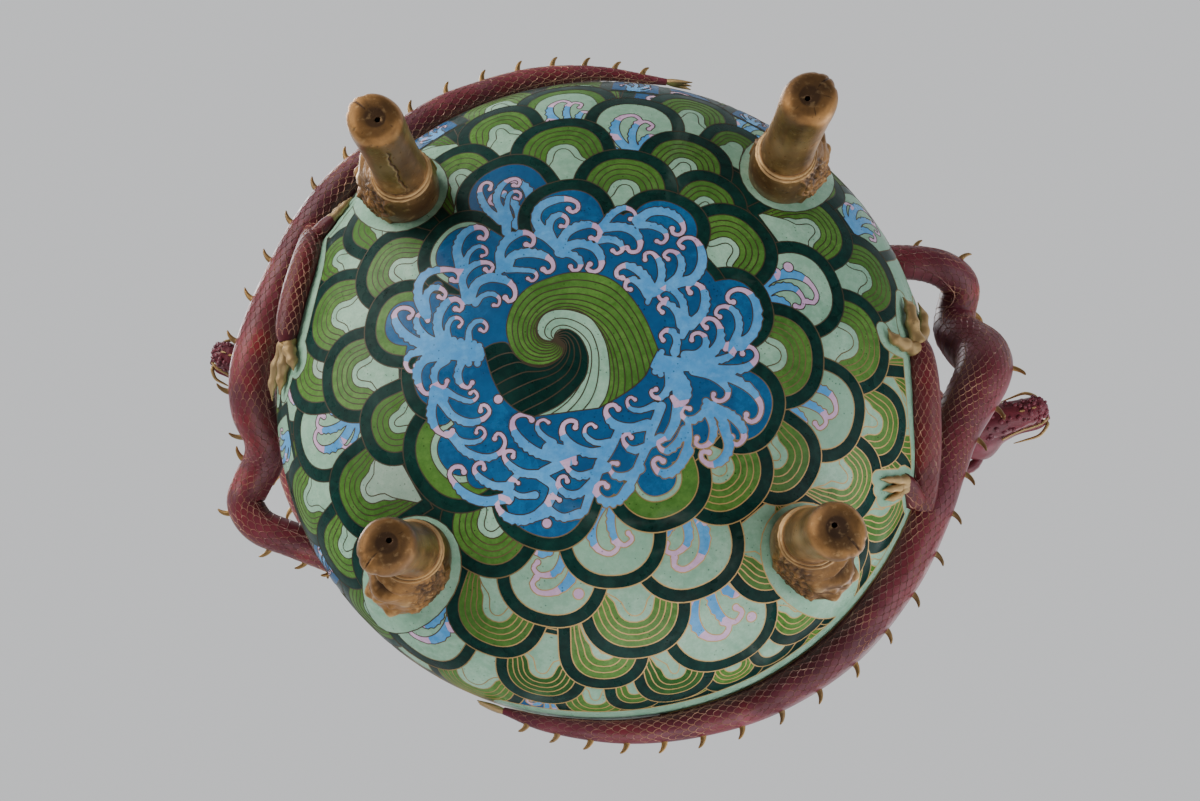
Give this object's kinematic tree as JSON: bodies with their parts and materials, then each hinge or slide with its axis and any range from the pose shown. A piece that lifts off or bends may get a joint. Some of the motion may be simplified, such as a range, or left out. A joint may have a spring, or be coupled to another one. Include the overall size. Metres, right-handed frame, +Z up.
{
  "type": "cloisonne incense burner",
  "caption": "Squat round enamelled bowl with an everted gilt rim on cast cabriole paw legs, with dragons that wind round its belly and lift their heads beside the rim.",
  "frame": {"origin": "middle of the floor rectangle under the whole object, at the level of the soles", "axes": "+Z up, +X towards the dragon that reaches out furthest, +Y towards the side the tail of that dragon lies on"},
  "size_m": [0.5545, 0.4413, 0.3212],
  "materials": {
    "enamel": "polished cloisonne enamel on copper, slightly pitted",
    "gilt_bronze": "worn gilding over dark brown bronze",
    "red_enamel": "glossy plum-red enamel with scale wires"
  },
  "bodies": {
    "root": {"bowl": "enamel", "leg_back_left": "gilt_bronze", "leg_back_right": "gilt_bronze", "leg_front_left": "gilt_bronze", "leg_front_right": "gilt_bronze", "dragon_right": "red_enamel", "dragon_left": "red_enamel"}
  },
  "joints": []
}
